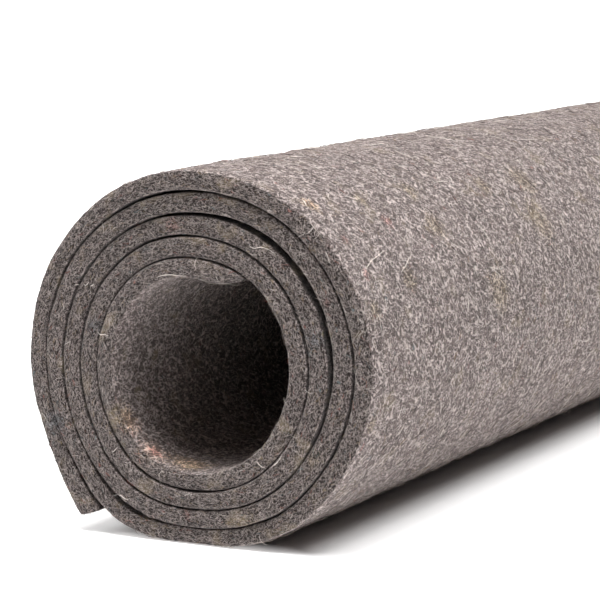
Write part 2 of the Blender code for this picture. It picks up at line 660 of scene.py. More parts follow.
def flat_sheet(winding, sizes):
    """Cut the sheet flat, outer face down, as closed felt with rounded cut edges."""
    sides, insets, depths, cuts, gaps = lines_round_sheet(sizes.widest_line_step)
    line_count = len(sides)

    length = winding.sheet_length
    margin = 2.0 * END_COLUMNS[-1].inset
    body_count = round(length / sizes.column_step)
    body = np.linspace(margin, length - margin, body_count)
    start, closing = np.array(END_COLUMNS).T
    places = np.concatenate([start, body, length - start[::-1]])
    closings = np.concatenate([closing, np.zeros(body_count), closing[::-1]])
    column_count = len(places)
    turns = winding.turn_at(places)

    reach = HALF_LENGTH - np.array([edge_drift(turn) for turn in turns])
    along = sides * (1.0 - insets / HALF_LENGTH)
    spread = (depths - 0.5) * (1.0 - closings[:, None])
    grid = np.empty((column_count, line_count, 3))
    grid[:, :, 0] = places[:, None]
    grid[:, :, 1] = along * reach[:, None]
    grid[:, :, 2] = (0.5 - spread) * FELT_THICKNESS

    columns, lines = np.meshgrid(np.arange(column_count - 1), np.arange(line_count), indexing="ij")
    columns, lines = columns.ravel(), lines.ravel()
    after = (lines + 1) % line_count
    low, high = columns * line_count, (columns + 1) * line_count
    quads = np.stack([low + lines, low + after, high + after, high + lines], axis=1)
    row = np.arange(line_count // 2 - 1)
    strip = np.stack([row, line_count - 1 - row, line_count - 2 - row, row + 1], axis=1)
    last = strip[:, ::-1] + (column_count - 1) * line_count
    faces = np.concatenate([quads, strip, last])

    mesh = bpy.data.meshes.new("flat_sheet")
    mesh.from_pydata(grid.reshape(-1, 3).tolist(), [], faces.tolist())
    mesh.shade_smooth()

    flat_line = np.abs(np.diff(grid[column_count // 2, :, 1:], axis=0))
    runs = np.concatenate([[0.0], np.cumsum(np.hypot(*flat_line.T))])
    run_end = runs[-1] + (1.0 - 2.0 * CUT_LINES[0].depth) * FELT_THICKNESS
    runs = np.append(runs, run_end)
    outwards = np.where(np.arange(column_count) < column_count // 2, -1.0, 1.0)
    arcs = places + outwards * closings * FELT_THICKNESS / 2.0
    quad_arcs = np.stack([arcs[columns], arcs[columns], arcs[columns + 1], arcs[columns + 1]], axis=1)
    quad_runs = np.stack([runs[lines], runs[lines + 1], runs[lines + 1], runs[lines]], axis=1)
    strip_arcs = np.full((2 * len(strip), 4), length)
    strip_runs = runs[np.concatenate([strip, strip[:, ::-1]])]
    uv = np.stack(
        [np.concatenate([quad_arcs, strip_arcs]), np.concatenate([quad_runs, strip_runs])], axis=2
    )
    mesh.uv_layers.new(name="felt").data.foreach_set("uv", uv.ravel().astype(np.float32))

    at_end = (closings > 0.0).astype(float)
    cut = np.maximum(cuts[None, :], at_end[:, None])
    first_turn = np.clip((1.0 + OPENING_TURNS - turns) / OPENING_TURNS, 0.0, 1.0)
    last_turn = np.clip((turns - WINDING_TURNS + 1.0) / OPENING_TURNS, 0.0, 1.0)
    inside = np.arange(line_count) < line_count // 2
    openness = np.where(inside[None, :], first_turn[:, None], last_turn[:, None])
    # The gap number says how near a gap between turns is, and sets the painted shade there.
    gap = gaps[None, :] * (1.0 - openness) * (1.0 - at_end[:, None])
    for name, values in (("cut", cut), ("open", openness), ("gap", gap)):
        attribute = mesh.attributes.new(name, "FLOAT", "POINT")
        attribute.data.foreach_set("value", values.ravel().astype(np.float32))

    on_cut = np.minimum(cuts[lines], cuts[after]) == 1.0
    near_half = sides[lines] < 0.0
    zones = np.full(len(faces), HIDDEN, dtype=np.int32)
    quad_zones = zones[:len(quads)]
    quad_zones[inside[lines] & (turns[columns] < 1.0)] = HOLLOW
    quad_zones[~inside[lines] & (turns[columns] > WINDING_TURNS - 1.0)] = OUTSIDE
    quad_zones[on_cut & near_half] = NEAR_END
    quad_zones[on_cut & ~near_half] = FAR_END
    quad_zones[(closings[columns] > closing[-1]) & ~on_cut] = SHEET_ENDS
    mesh.attributes.new("zone", "INT", "FACE").data.foreach_set("value", zones)
    return add_object("flat_sheet", mesh)


def winding_tree():
    """Wind a flat sheet along a path, with edges cut a little unevenly and faces a little lumpy."""
    lengths = ("Felt Thickness", "Half Length", "Edge Unevenness", "Edge Swelling", "Face Unevenness")
    wiring, given, result = new_geometry_tree(
        "Wind Felt", Object=("Path",), Float=lengths + ("Fullness",), Material=("Material",)
    )
    info = wiring.node("GeometryNodeObjectInfo", {"Object": given["Path"]})
    path = wiring.first("GeometryNodeMeshToCurve", {"Mesh": info.outputs["Geometry"]})
    arc, along, height = wiring.parts(wiring.first("GeometryNodeInputPosition"))
    depth = wiring.math("SUBTRACT", 1.0, wiring.math("DIVIDE", height, given["Felt Thickness"]))

    def sampled(name):
        feeds = {"Curves": path, "Value": wiring.named(name, "FLOAT_VECTOR"), "Length": arc}
        kind = "GeometryNodeSampleCurve"
        return wiring.node(kind, feeds, mode="LENGTH", data_type="FLOAT_VECTOR").outputs

    across = sampled("across")
    lift = sampled("lift")["Value"]

    fullness = wiring.sway(wiring.combined(arc, along), FULLNESS_NOISE)
    fullness = wiring.math("ADD", wiring.product(fullness, given["Fullness"]), MEAN_FULLNESS)
    from_middle = wiring.product(wiring.math("SUBTRACT", depth, 0.5), fullness)
    wound = wiring.vector("ADD", across["Position"], wiring.scaled(across["Value"], from_middle))

    end_share = wiring.math("DIVIDE", along, given["Half Length"])
    square = wiring.math("POWER", end_share, 2.0)
    end_lift = wiring.math("MULTIPLY_ADD", square, LIFT_TO_ENDS, MIDDLE_LIFT)
    wound = wiring.vector("ADD", wound, wiring.scaled(lift, end_lift))

    outwards = wiring.vector("NORMALIZE", across["Value"])
    side = wiring.math("SIGN", wiring.math("SUBTRACT", depth, 0.5))
    lump = wiring.sway(wiring.combined(arc, along, depth), FACE_NOISE)
    lump = wiring.product(lump, wiring.named("open"), given["Face Unevenness"], side)
    wound = wiring.vector("ADD", wound, wiring.scaled(outwards, lump))

    swell = wiring.sway(wiring.combined(arc, end_share, side), SWELLING_NOISE)
    swell = wiring.product(swell, wiring.named("cut"), given["Edge Swelling"])
    wound = wiring.vector("ADD", wound, wiring.scaled(outwards, swell))

    edge_place = wiring.combined(arc, wiring.product(depth, CUT_DEPTH_SCALE), end_share)
    edge = wiring.sway(edge_place, EDGE_NOISE)
    edge_side = wiring.math("SIGN", along)
    edge = wiring.product(edge, wiring.named("cut"), given["Edge Unevenness"], edge_side)
    x, _, z = wiring.parts(wound)
    wound = wiring.combined(x, wiring.math("ADD", along, edge), wiring.math("MAXIMUM", z, 0.0))

    grained = wiring.stored(given["Geometry"], "grain", across["Tangent"], "FLOAT_VECTOR")
    moved = wiring.first("GeometryNodeSetPosition", {"Geometry": grained, "Position": wound})
    return finished_tree(wiring, given, result, moved)


class StrandShape(NamedTuple):
    """A fibre from end to end, as shares of its length: bends sideways and rises off the felt."""

    first_bend: float
    second_bend: float
    start_rise: float
    first_rise: float
    second_rise: float
    end_rise: float


STRAND_SHAPES = (
    StrandShape(0.16, 0.22, -0.02, 0.05, 0.06, -0.02),
    StrandShape(-0.24, 0.14, -0.02, 0.07, 0.03, 0.02),
    StrandShape(0.10, -0.28, -0.02, 0.04, 0.09, 0.05),
    StrandShape(-0.12, -0.16, -0.03, 0.08, 0.10, -0.02),
    StrandShape(0.34, 0.30, -0.02, 0.03, 0.05, 0.08),
)


def strand(wiring, shape, length, radius, segments):
    """Make one fibre out of a gently bent line."""

    def placed(*shares):
        return wiring.combined(*[wiring.product(length, share) for share in shares])

    feeds = {
        "Resolution": segments,
        "Start": placed(-0.5, 0.0, shape.start_rise),
        "Start Handle": placed(-0.2, shape.first_bend, shape.first_rise),
        "End Handle": placed(0.2, shape.second_bend, shape.second_rise),
        "End": placed(0.5, 0.0, shape.end_rise),
    }
    line = wiring.first("GeometryNodeCurvePrimitiveBezierSegment", feeds)
    return thread(wiring, line, radius, segments)


def thread(wiring, line, radius, segments):
    """Thicken a curve into a thread that comes to a point at both ends."""
    feeds = {"Curve": line, "Count": wiring.math("ADD", segments, 1.0)}
    divided = wiring.first("GeometryNodeResampleCurve", feeds, mode="COUNT")
    share = wiring.node("GeometryNodeSplineParameter").outputs["Factor"]
    bulge = wiring.math("ABSOLUTE", wiring.math("SINE", wiring.product(share, pi)))
    width = wiring.product(wiring.math("POWER", bulge, 0.5), radius)
    feeds = {"Resolution": THREAD_SIDES, "Radius": 1.0}
    ring = wiring.first("GeometryNodeCurvePrimitiveCircle", feeds)
    feeds = {"Curve": divided, "Profile Curve": ring, "Scale": width}
    tube = wiring.first("GeometryNodeCurveToMesh", feeds)
    feeds = {"Geometry": tube, "Distance": TIP_WELD}
    return wiring.first("GeometryNodeMergeByDistance", feeds)


def hair_tree():
    """Thicken lines of edges into smooth hairs, all of one tone."""
    wiring, given, result = new_geometry_tree(
        "Draw Hairs", Float=("Radius", "Tone"), Int=("Segments",), Material=("Material",)
    )
    lines = wiring.first("GeometryNodeMeshToCurve", {"Mesh": given["Geometry"]})
    smooth = wiring.first("GeometryNodeCurveSplineType", {"Curve": lines}, spline_type="CATMULL_ROM")
    hairs = thread(wiring, smooth, given["Radius"], given["Segments"])
    return finished_tree(wiring, given, result, wiring.stored(hairs, "tone", given["Tone"]))


def felt_distance(sheet, eye, pixel):
    """Say how far forwards from the camera the felt is that shows at a pixel."""
    ray = pixel_direction(pixel)
    found, point, _, _ = sheet.ray_cast(eye, ray.normalized())
    if not found:
        raise RuntimeError("a pixel lies off the felt")
    return (point - eye).length / ray.length


def hair_points(sheet, pixels):
    """Lay a line of pixels on the felt that shows there, taut across the gaps between turns."""
    eye = camera_place()
    rays = [pixel_direction(pixel) for pixel in pixels]
    reaches = [felt_distance(sheet, eye, pixel) for pixel in pixels]
    points = []
    for index, (ray, reach) in enumerate(zip(rays, reaches)):
        share = index / (len(rays) - 1)
        taut = reaches[0] + (reaches[-1] - reaches[0]) * share
        points.append(eye + ray * (min(reach, taut + HAIR_SAG) - HAIR_CLEARANCE))
    return points


def hair_lines(sheet):
    mesh = bpy.data.meshes.new("hair_lines")
    points, edges = [], []
    for pixels in HAIRS:
        first = len(points)
        points += hair_points(sheet, pixels)
        edges += [(index, index + 1) for index in range(first, len(points) - 1)]
    mesh.from_pydata(points, edges, [])
    return add_object("hair_lines", mesh)


def fibre_tree():
    """Lay fibres on one zone of a surface, turned and tilted at random."""
    sizes = ("Density", "Length", "Radius", "Spread", "Lift", "Smallest", "Palest Tone", "Rarest Tone")
    wiring, given, result = new_geometry_tree(
        "Lay Fibres", Int=("Zone", "Segments", "Seed"), Float=sizes, Material=("Material",)
    )

    def random_number(low, high, offset):
        seed = wiring.math("ADD", given["Seed"], offset)
        feeds = {"Min": low, "Max": high, "Seed": seed}
        return wiring.node("FunctionNodeRandomValue", feeds, data_type="FLOAT").outputs[1]

    feeds = {2: wiring.named("zone", "INT"), 3: given["Zone"]}
    chosen = wiring.first("FunctionNodeCompare", feeds, data_type="INT", operation="EQUAL")
    feeds = {
        "Mesh": given["Geometry"],
        "Selection": chosen,
        "Density": given["Density"],
        "Seed": given["Seed"],
    }
    spots = wiring.node("GeometryNodeDistributePointsOnFaces", feeds)

    feeds = {"Rotation": spots.outputs["Rotation"], "Vector": wiring.named("grain", "FLOAT_VECTOR")}
    rotation = wiring.first("FunctionNodeAlignRotationToVector", feeds, axis="X", pivot_axis="Z")
    least = wiring.product(given["Spread"], -1.0)
    turn = random_number(least, given["Spread"], TURN_SEED)
    tilt = wiring.product(random_number(LOWEST_TILT, HIGHEST_TILT, TILT_SEED), given["Lift"])
    for axis, angle in (((0.0, 0.0, 1.0), turn), ((0.0, 1.0, 0.0), tilt)):
        turned = wiring.first("FunctionNodeAxisAngleToRotation", {"Axis": axis, "Angle": angle})
        feeds = {"Rotation": rotation, "Rotate By": turned}
        rotation = wiring.first("FunctionNodeRotateRotation", feeds, rotation_space="LOCAL")

    kinds = wiring.node("GeometryNodeJoinGeometry")
    for shape in STRAND_SHAPES:
        fibre = strand(wiring, shape, given["Length"], given["Radius"], given["Segments"])
        single = wiring.first("GeometryNodeGeometryToInstance", {0: fibre})
        wiring.feed(kinds.inputs[0], single)

    feeds = {4: 0, 5: len(STRAND_SHAPES) - 1, 8: wiring.math("ADD", given["Seed"], KIND_SEED)}
    kind = wiring.node("FunctionNodeRandomValue", feeds, data_type="INT")
    size = random_number(given["Smallest"], LARGEST_FIBRE, SIZE_SEED)
    feeds = {
        "Points": spots.outputs["Points"],
        "Instance": kinds.outputs[0],
        "Pick Instance": True,
        "Instance Index": kind.outputs[2],
        "Rotation": rotation,
        "Scale": wiring.combined(size, size, size),
    }
    laid = wiring.first("GeometryNodeInstanceOnPoints", feeds)
    tone = random_number(given["Palest Tone"], given["Rarest Tone"], TONE_SEED)
    toned = wiring.stored(laid, "tone", tone, domain="INSTANCE")
    real = wiring.first("GeometryNodeRealizeInstances", {0: toned})
    x, y, z = wiring.parts(wiring.first("GeometryNodeInputPosition"))
    above_floor = wiring.combined(x, y, wiring.math("MAXIMUM", z, 0.0))
    kept = wiring.first("GeometryNodeSetPosition", {"Geometry": real, "Position": above_floor})
    return finished_tree(wiring, given, result, kept)


def new_material(name, finish):
    """Start a material whose shader is set to this finish."""
    material = bpy.data.materials.new(name)
    material.use_nodes = True
    material.node_tree.nodes.clear()
    wiring = Wiring(material.node_tree)
    shader = wiring.node("ShaderNodeBsdfPrincipled", finish)
    wiring.node("ShaderNodeOutputMaterial", {"Surface": shader.outputs[0]})
    return material, wiring, shader


def opaque(colour):
    return (*colour, 1.0)


class Strokes(NamedTuple):
    """Fibres drawn on the felt, in millimetres: the ways they lie, their length and their width."""

    angles: tuple
    length: float
    width: float
    thinness: float
    gaps: float


FACE_PALE = Strokes((38.0, 71.0, 96.0, 124.0), 4.0, 1.15, 0.055, 0.49)
FACE_DARK = Strokes((58.0, 88.0, 116.0), 1.5, 0.52, 0.080, 0.48)
CUT_PALE = Strokes((-38.0, -11.0, 12.0, 44.0), 1.4, 0.58, 0.065, 0.51)
CUT_DARK = Strokes((-14.0, 19.0), 1.0, 0.44, 0.080, 0.45)


def sheet_place(wiring):
    """Give a place on the flat sheet, in millimetres."""
    return wiring.scaled(wiring.first("ShaderNodeUVMap", uv_map="felt"), 1000.0)


def fibre_lines(wiring, place, strokes):
    """Draw thin curved lines, broken up into lengths, which cross each other."""
    most = 0.0
    for angle in strokes.angles:
        feeds = {"Vector": place, "Angle": radians(angle)}
        turned = wiring.first("ShaderNodeVectorRotate", feeds, rotation_type="Z_AXIS")
        drawn = wiring.vector("MULTIPLY", turned, (1.0 / strokes.length, 1.0 / strokes.width, 1.0))
        drawn = wiring.vector("ADD", drawn, (angle * 17.3, angle * 5.9, 0.0))
        from_line = wiring.math("ABSOLUTE", wiring.sway(drawn, STROKE_NOISE))
        line = wiring.ranged(from_line, 0.6 * strokes.thinness, strokes.thinness, 1.0, 0.0)
        breaks = wiring.noise(wiring.vector("ADD", drawn, (3.7, 8.1, 0.0)), BREAK_NOISE)
        kept = wiring.ranged(breaks, strokes.gaps, strokes.gaps + 0.09)
        most = wiring.math("MAXIMUM", most, wiring.product(line, kept))
    return most


def painted_gap_shade(wiring, place):
    """Paint shade on the felt, unevenly, beside the gaps between the turns, where the grooves would be
    in shadow.
    """
    gap = wiring.mesh_number("gap")
    wander = wiring.noise(wiring.vector("MULTIPLY", place, (0.16, 0.02, 1.0)), WANDER_NOISE)
    for unevenness in (wander, wiring.noise(place, FRINGE_NOISE)):
        gap = wiring.math("MULTIPLY_ADD", unevenness, 0.9, gap)
    return wiring.ranged(gap, 1.3, 1.75, 1.0, 0.15)


def patch_share(wiring, place, sheet, patches, strength):
    """Say how much a set of patches on the sheet tints each place, with frayed borders."""
    spot = wiring.node("ShaderNodeTexCoord").outputs["Object"]
    eye = camera_place()
    nearest = 9.0
    for patch in patches:
        distance = felt_distance(sheet, eye, patch.pixel)
        middle = eye + pixel_direction(patch.pixel) * distance
        feeds = {0: spot, 1: middle}
        away = wiring.node("ShaderNodeVectorMath", feeds, operation="DISTANCE").outputs["Value"]
        reach = patch.reach * distance / FOCAL_PIXELS
        nearest = wiring.math("MINIMUM", nearest, wiring.math("DIVIDE", away, reach))
    frayed = wiring.math("MULTIPLY_ADD", wiring.sway(place, FRAY_NOISE), 1.8, nearest)
    return wiring.ranged(frayed, 0.35, 1.25, strength, 0.0)


def tint_patches(material, sheet):
    """Tint the felt at clumps of coloured wool on the wound sheet, placed from pixels of the
    photograph, and brighten it with painted light at a few lit spots.
    """
    wiring = Wiring(material.node_tree)
    place = sheet_place(wiring)
    base = material.node_tree.nodes["Principled BSDF"].inputs["Base Color"]
    coloured = base.links[0].from_socket
    for patches, strength, tint in PATCH_TINTS:
        share = patch_share(wiring, place, sheet, patches, strength)
        coloured = wiring.tinted(share, coloured, wiring.combined(*tint), "MULTIPLY")
    wiring.feed(base, coloured)


def felt_material(colours):
    """Wool felt: pale and dark fibres matted over each other, with stray coloured ones."""
    material, wiring, shader = new_material("wool_felt", WOOL_FINISH)
    place = sheet_place(wiring)
    bend = wiring.vector("SUBTRACT", wiring.noise(place, BEND_NOISE, "Color"), (0.5, 0.5, 0.5))
    bend = wiring.scaled(bend, 2.2)
    bent = wiring.vector("ADD", place, bend)
    slightly_bent = wiring.vector("ADD", place, wiring.scaled(bend, 0.35))
    cut = wiring.mesh_number("cut")
    # Painted shade beside the gaps between the turns, for the felt and its pale fibres.
    painted_gap_darkening = painted_gap_shade(wiring, place)

    def drawn(on_face, on_cut):
        face_lines = fibre_lines(wiring, bent, on_face)
        return wiring.between(cut, face_lines, fibre_lines(wiring, slightly_bent, on_cut))

    pale = drawn(FACE_PALE, CUT_PALE)
    dark = wiring.product(drawn(FACE_DARK, CUT_DARK), 0.8)

    cloud = wiring.noise(place, CLOUD_NOISE)
    clump = wiring.noise(place, CLUMP_NOISE)
    face_grain = wiring.noise(wiring.vector("MULTIPLY", place, FACE_GRAIN), GRAIN_NOISE)
    cut_grain = wiring.noise(wiring.vector("MULTIPLY", slightly_bent, CUT_GRAIN), GRAIN_NOISE)
    grain = wiring.between(cut, face_grain, cut_grain)
    # The felt's tone varies at random, is darker on the cut edges, and gets painted shade beside the
    # gaps.
    shade = wiring.product(
        wiring.ranged(cloud, 0.3, 0.7, 0.88, 1.12),
        wiring.ranged(clump, 0.25, 0.75, 0.84, 1.16),
        wiring.ranged(grain, 0.34, 0.66, 0.08, 1.92),
        wiring.between(cut, 1.0, colours.cut_shade),
        painted_gap_darkening,
    )
    ground = wiring.shaded(opaque(colours.felt), shade)

    ochre = wiring.noise(wiring.vector("ADD", place, (40.0, 7.0, 0.0)), OCHRE_NOISE)
    ochre = wiring.ranged(ochre, 0.60, 0.74, 0.0, 0.5)
    coloured = wiring.tinted(ochre, ground, opaque(colours.ochre))
    coloured = wiring.tinted(dark, coloured, opaque(colours.dark))
    tufts = wiring.ranged(clump, 0.3, 0.6, 0.7, 1.0)
    # The pale fibres get the painted gap shade too.
    pale = wiring.product(pale, tufts, wiring.between(cut, 1.0, 0.5), painted_gap_darkening)
    coloured = wiring.tinted(pale, coloured, opaque(colours.pale))

    feeds = {"Vector": wiring.vector("MULTIPLY", bent, (0.30, 1.1, 1.0)), "Scale": 1.0}
    cells = wiring.node("ShaderNodeTexVoronoi", feeds, voronoi_dimensions="2D")
    pick = wiring.parts(cells.outputs["Color"])[0]
    near = wiring.ranged(cells.outputs["Distance"], 0.12, 0.24, 1.0, 0.0)
    flecks = ((0.985, 1.0, colours.red), (0.965, 0.985, colours.ochre), (0.95, 0.965, colours.teal))
    for low, high, colour in flecks:
        above = wiring.math("GREATER_THAN", pick, low)
        below = wiring.math("LESS_THAN", pick, high)
        coloured = wiring.tinted(wiring.product(above, below, near, 0.7), coloured, opaque(colour))

    wiring.feed(shader.inputs["Base Color"], coloured)
    relief = wiring.math("ADD", wiring.math("SUBTRACT", pale, dark), wiring.product(grain, 2.0))
    feeds = {"Strength": 0.8, "Distance": 0.00022, "Height": relief}
    wiring.feed(shader.inputs["Normal"], wiring.first("ShaderNodeBump", feeds))
    return material


def fibre_material(colours):
    """Single fibres: each one has its own colour out of the wool's mixture."""
    material, wiring, shader = new_material("wool_fibres", FIBRE_FINISH)
    ramp = wiring.node("ShaderNodeValToRGB", {0: wiring.mesh_number("tone")})
    ramp.color_ramp.interpolation = "CONSTANT"
    stops = ramp.color_ramp.elements
    while len(stops) > 1:
        stops.remove(stops[-1])
    for index, (start, colour) in enumerate(FIBRE_TONES):
        stop = stops[0] if index == 0 else stops.new(start)
        stop.position = start
        stop.color = opaque(colour)
    place = wiring.node("ShaderNodeTexCoord").outputs["Object"]
    along = wiring.noise(place, Noise(900.0, 1.0, "3D"))
    tinted = wiring.shaded(ramp.outputs[0], wiring.ranged(along, 0.3, 0.7, 0.8, 1.15))
    tinted = wiring.tinted(1.0, tinted, opaque(colours.fibre_tint), "MULTIPLY")
    wiring.feed(shader.inputs["Base Color"], tinted)
    return material


def floor_material(stage):
    """A matte white floor with painted light: it glows beside the roll and just before its near end,
    but not in the strip under the roll, so the roll's shadow stays dark and narrow.
    """
    material, wiring, shader = new_material("studio_floor", FLOOR_FINISH)
    place = wiring.node("ShaderNodeTexCoord").outputs["Object"]
    grain = wiring.noise(place, Noise(40.0, 3.0, "3D"))
    tone = wiring.shaded(opaque(stage.floor), wiring.ranged(grain, 0.3, 0.7, 0.985, 1.0))
    wiring.feed(shader.inputs["Base Color"], tone)
    x, y, _ = wiring.parts(place)
    left, right = ROLL_SHADE
    to_left = wiring.math("SUBTRACT", left, x)
    to_right = wiring.math("SUBTRACT", x, right)
    aside = wiring.ranged(wiring.math("MAXIMUM", to_left, to_right), 0.0, 0.014)
    before_end = wiring.ranged(y, -HALF_LENGTH - 0.001, -HALF_LENGTH + 0.011, 1.0, 0.0)
    open_floor = wiring.math("MAXIMUM", aside, before_end)
    near_roll = wiring.ranged(y, -HALF_LENGTH - 0.075, -HALF_LENGTH - 0.035)
    # Painted light: the floor glows beside the roll and just before its near end, but not under it.
    painted_floor_glow = wiring.product(open_floor, near_roll, stage.painted_floor_glow)
    wiring.feed(shader.inputs["Emission Strength"], painted_floor_glow)
    return material


def colour_of(name, description, default):
    return FloatVectorProperty(name=name, description=description, subtype="COLOR", default=default)


def length_of(name, description, default):
    return FloatProperty(name=name, description=description, unit="LENGTH", default=default)


def number_of(name, description, default, subtype="NONE"):
    return FloatProperty(name=name, description=description, subtype=subtype, default=default)


class FeltColours(bpy.types.PropertyGroup):
    """Colours of the wool, and of the fibres mixed into it."""

    felt: colour_of(
        "Felt", "The matted wool between its palest and darkest fibres", (0.166, 0.127, 0.120)
    )
    cut_shade: number_of(
        "Cut Shade", "How dark the cut edges are, as a share of the faces", 0.18, "FACTOR"
    )
    pale: colour_of("Pale Fibres", "Colour of the pale fibres in the felt", (0.66, 0.565, 0.535))
    dark: colour_of("Dark Fibres", "Colour of the dark fibres in the felt", (0.036, 0.026, 0.024))
    ochre: colour_of("Ochre Fibres", "Colour of the yellowish clumps", (0.30, 0.235, 0.15))
    red: colour_of("Red Flecks", "Colour of the rare red fibres", (0.32, 0.11, 0.09))
    teal: colour_of("Blue-Green Flecks", "Colour of the rare blue-green fibres", (0.13, 0.19, 0.20))
    fibre_tint: colour_of("Fibre Tint", "What every loose fibre is multiplied by", (0.92, 0.87, 0.84))


class SheetSizes(bpy.types.PropertyGroup):
    """How finely the sheet is modelled, and how uneven it is."""

    column_step: length_of(
        "Step Along Winding", "Distance between rows of faces along the winding", 0.0016
    )
    widest_line_step: length_of(
        "Step Along Roll", "Widest distance between rows of faces along the roll", 0.0125
    )
    edge_unevenness: length_of("Edge Unevenness", "How much the cut edges wander in and out", 0.0017)
    edge_swelling: length_of(
        "Edge Swelling", "How much the gaps between the cut edges widen and narrow", 0.0009
    )
    face_unevenness: length_of("Face Unevenness", "How lumpy the open faces are", 0.0007)
    fullness: number_of("Fullness", "How much the felt's thickness varies, as a share", 0.28)


class FibreSizes(bpy.types.PropertyGroup):
    """Sizes of the fibres that lie on the felt."""

    length: length_of("Fibre Length", "Length of a usual fibre on the outside of the roll", 0.0055)
    radius: length_of("Fibre Radius", "Radius of a usual fibre", 0.000045)
    amount: number_of("Amount", "Share of the usual number of fibres", 1.0)
    seed: IntProperty(name="Seed", description="Chooses one arrangement of the fibres", default=7)


class StageSettings(bpy.types.PropertyGroup):
    """The floor and the light."""

    floor: colour_of("Floor", "Colour of the floor", (0.86, 0.86, 0.86))
    # Floor Glow sets the painted light that the floor gives off beside the roll.
    painted_floor_glow: number_of("Floor Glow", "Strength of the light that comes through the floor", 0.5)
    key_strength: number_of("Key Light", "Strength of each soft light from above", 3.0)
    key_softness: number_of("Key Softness", "Angle across each soft light, in degrees", 22.0)
    fill_power: number_of("Fill Light", "Power of each light before the near end, in watts", 0.30)
    sky: number_of("Sky", "Strength of the even light from all round", 0.04)


class FeltRollSettings(bpy.types.PropertyGroup):
    """Everything a user would change."""

    colours: PointerProperty(type=FeltColours)
    sheet: PointerProperty(type=SheetSizes)
    fibres: PointerProperty(type=FibreSizes)
    stage: PointerProperty(type=StageSettings)


def settings():
    return bpy.context.scene.felt_roll


class FELTROLL_OT_wind_sheet(bpy.types.Operator):
    """Cut the felt sheet flat and wind it into the roll"""

    bl_idname = "felt_roll.wind_sheet"
    bl_label = "Wind Sheet"

    def execute(self, context):
        winding = Winding()
        sizes = settings().sheet
        flat = flat_sheet(winding, sizes)
        path = winding.as_object()
        material = felt_material(settings().colours)
        values = {
            "Path": path,
            "Felt Thickness": FELT_THICKNESS,
            "Half Length": HALF_LENGTH,
            "Edge Unevenness": sizes.edge_unevenness,
            "Edge Swelling": sizes.edge_swelling,
            "Face Unevenness": sizes.face_unevenness,
            "Fullness": sizes.fullness,
            "Material": material,
        }
        sheet = made_plain(flat, winding_tree(), values, "felt_sheet")
        discard(flat)
        discard(path)
        context.view_layer.update()
        tint_patches(material, sheet)
        return {"FINISHED"}


class FibreLayer(NamedTuple):
    """One lot of fibres: where they lie, how many there are, how they lie and their colours."""

    name: str
    zone: int
    count_per_square_metre: float
    length: float
    width: float
    segments: int
    spread: float
    lift: float
    smallest: float
    tones: tuple


FIBRE_LAYERS = (
    FibreLayer("fibres_outside", OUTSIDE, 66000.0, 1.0, 1.6, 4, 180.0, 6.0, 0.5, (0.0, 0.9)),
    FibreLayer("fibres_outside_short", OUTSIDE, 92000.0, 0.6, 1.4, 3, 180.0, 8.0, 0.5, (0.0, 1.0)),
    FibreLayer("fibres_outside_stray", OUTSIDE, 2800.0, 1.4, 1.6, 8, 180.0, 14.0, 0.4, (0.0, 0.06)),
    FibreLayer("fibres_near_end", NEAR_END, 2500000.0, 0.4, 0.9, 3, 40.0, 35.0, 0.4, (0.26, 1.0)),
    FibreLayer("fibres_near_end_stray", NEAR_END, 36000.0, 0.55, 1.1, 6, 180.0, 30.0, 0.4, (0.0, 0.06)),
    FibreLayer("fibres_far_end", FAR_END, 1600000.0, 0.4, 1.0, 3, 40.0, 35.0, 0.4, (0.24, 1.0)),
    FibreLayer("fibres_hollow", HOLLOW, 60000.0, 0.9, 1.0, 3, 180.0, 10.0, 0.5, (0.0, 1.0)),
    FibreLayer("fibres_sheet_ends", SHEET_ENDS, 900000.0, 0.4, 1.0, 3, 60.0, 35.0, 0.4, (0.1, 1.0)),
)


class FELTROLL_OT_lay_fibres(bpy.types.Operator):
    """Lay loose fibres over every part of the felt that shows"""

    bl_idname = "felt_roll.lay_fibres"
    bl_label = "Lay Fibres"

    def execute(self, context):
        sheet = bpy.data.objects["felt_sheet"]
        sizes = settings().fibres
        material = fibre_material(settings().colours)
        tree = fibre_tree()
        for index, layer in enumerate(FIBRE_LAYERS):
            values = {
                "Zone": layer.zone,
                "Density": layer.count_per_square_metre * sizes.amount,
                "Length": sizes.length * layer.length,
                "Radius": sizes.radius * layer.width,
                "Segments": layer.segments,
                "Spread": radians(layer.spread),
                "Lift": radians(layer.lift),
                "Smallest": layer.smallest,
                "Palest Tone": layer.tones[0],
                "Rarest Tone": layer.tones[1],
                "Seed": sizes.seed + LAYER_SEED_STEP * index,
                "Material": material,
            }
            made_plain(sheet, tree, values, layer.name)
        lines = hair_lines(sheet)
        values = {"Radius": HAIR_RADIUS, "Segments": HAIR_SEGMENTS, "Tone": HAIR_TONE}
        values["Material"] = material
        made_plain(lines, hair_tree(), values, "stray_hairs")
        discard(lines)
        return {"FINISHED"}


class FELTROLL_OT_set_stage(bpy.types.Operator):
    """Make the floor, the lights and the camera"""

    bl_idname = "felt_roll.set_stage"
    bl_label = "Set Stage"

    def execute(self, context):
        stage = settings().stage
        make_floor(stage)
        make_lights(stage)
        make_camera()
        context.scene.view_settings.view_transform = "Standard"
        return {"FINISHED"}


class FELTROLL_PT_panel(bpy.types.Panel):
    """Lists the roll's settings and the steps that make it"""

    bl_label = "Felt Roll"
    bl_space_type = "VIEW_3D"
    bl_region_type = "UI"
    bl_category = "Felt Roll"

    def draw(self, context):
        layout = self.layout
        for group in ("colours", "sheet", "fibres", "stage"):
            owner = getattr(settings(), group)
            box = layout.box()
            box.label(text=group.capitalize())
            for name in owner.__annotations__:
                box.prop(owner, name)
        for step in STEPS:
            layout.operator(step.bl_idname)


